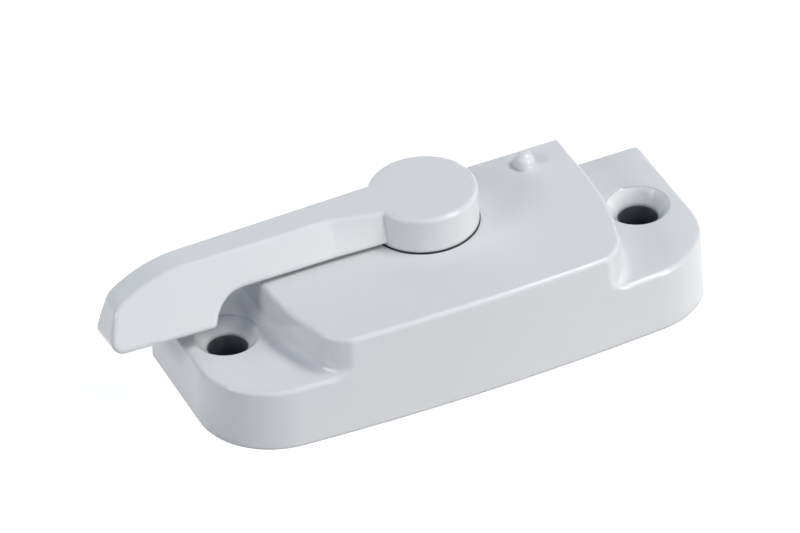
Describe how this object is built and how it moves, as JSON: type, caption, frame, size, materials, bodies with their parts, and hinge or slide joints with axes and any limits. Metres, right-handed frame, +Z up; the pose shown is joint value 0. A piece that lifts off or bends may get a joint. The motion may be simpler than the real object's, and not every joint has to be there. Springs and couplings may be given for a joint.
{
  "type": "sliding window lock",
  "caption": "surface-mounted sweep lock for a sliding window, a stepped cast housing with a lever handle that turns half a turn and swings a hooked cam out of the back",
  "frame": {"origin": "midway between the two screw holes, on the mounting face", "axes": "+X along the lock, away from the handle's tip while the lock is open; +Y to the straight back edge, where the cam comes out; +Z up, away from the mounting face"},
  "size_m": [0.0719, 0.0254, 0.0175],
  "materials": {
    "housing": "gloss",
    "handle": "gloss",
    "cam": "zinc plated",
    "spring_washer": "satin",
    "cam_washer": "zinc plated",
    "cam_screw": "zinc plated"
  },
  "bodies": {
    "base": {"housing": "housing"},
    "lever": {"handle": "handle", "cam": "cam", "spring_washer": "spring_washer", "cam_washer": "cam_washer", "cam_screw": "cam_screw"}
  },
  "joints": [
    {"name": "handle_turn", "type": "hinge", "parent": "base", "child": "lever", "pos_m": [0.0005, 0.0033, 0], "axis": [0, 0, 1], "range_deg": [0, 180]}
  ]
}
